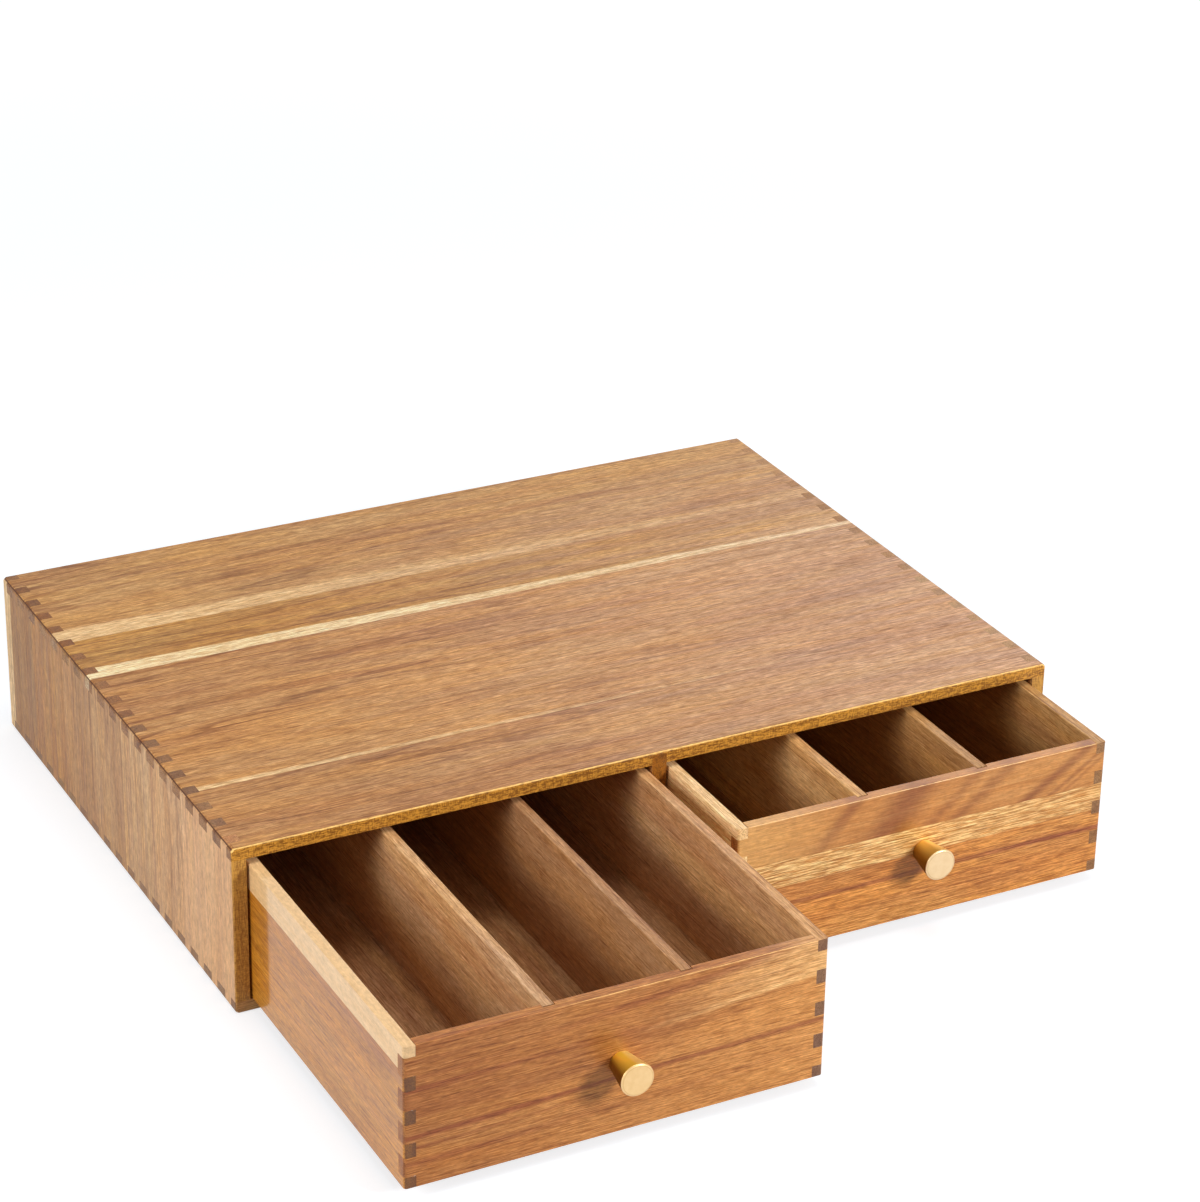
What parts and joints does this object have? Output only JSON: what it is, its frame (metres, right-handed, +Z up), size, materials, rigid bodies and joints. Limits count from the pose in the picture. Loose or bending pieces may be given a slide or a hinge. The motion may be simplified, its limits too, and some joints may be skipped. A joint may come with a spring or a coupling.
{
  "type": "coffee pod drawer",
  "caption": "Low finger-jointed hardwood case with side-by-side sliding drawers, each split into bays for coffee capsules, with a conical brass knob; a coffee machine stands on its flat top.",
  "frame": {"origin": "centre of the case's footprint, on the surface that it stands on", "axes": "+X to the right seen from the front, +Y to the back, +Z up"},
  "size_m": [0.43, 0.493, 0.0855],
  "materials": {
    "case_wood": "oiled and lacquered acacia glued up from strips, satin",
    "drawer_front_wood": "lacquered acacia with red-brown streaks, satin",
    "drawer_wood": "lacquered acacia, satin",
    "panel_wood": "thin wood panel, matt",
    "knob_brass": "brushed satin brass",
    "screw_steel": "zinc plated steel"
  },
  "bodies": {
    "case": {"case_top": "case_wood", "case_bottom": "case_wood", "case_left_side": "case_wood", "case_right_side": "case_wood", "case_back": "case_wood", "case_partition": "case_wood"},
    "left_drawer": {"left_drawer_front": "drawer_front_wood", "left_drawer_left_side": "drawer_wood", "left_drawer_right_side": "drawer_wood", "left_drawer_back": "drawer_wood", "left_drawer_bottom": "panel_wood", "left_drawer_left_divider": "drawer_wood", "left_drawer_right_divider": "drawer_wood", "left_drawer_knob": "knob_brass", "left_drawer_knob_screw": "screw_steel"},
    "right_drawer": {"right_drawer_front": "drawer_front_wood", "right_drawer_left_side": "drawer_wood", "right_drawer_right_side": "drawer_wood", "right_drawer_back": "drawer_wood", "right_drawer_bottom": "panel_wood", "right_drawer_left_divider": "drawer_wood", "right_drawer_right_divider": "drawer_wood", "right_drawer_knob": "knob_brass", "right_drawer_knob_screw": "screw_steel"}
  },
  "joints": [
    {"name": "left_drawer_slide", "type": "slide", "parent": "case", "child": "left_drawer", "axis": [0, -1, 0], "range_m": [-0.166, 0.084]},
    {"name": "right_drawer_slide", "type": "slide", "parent": "case", "child": "right_drawer", "axis": [0, -1, 0], "range_m": [-0.0665, 0.1835]}
  ]
}
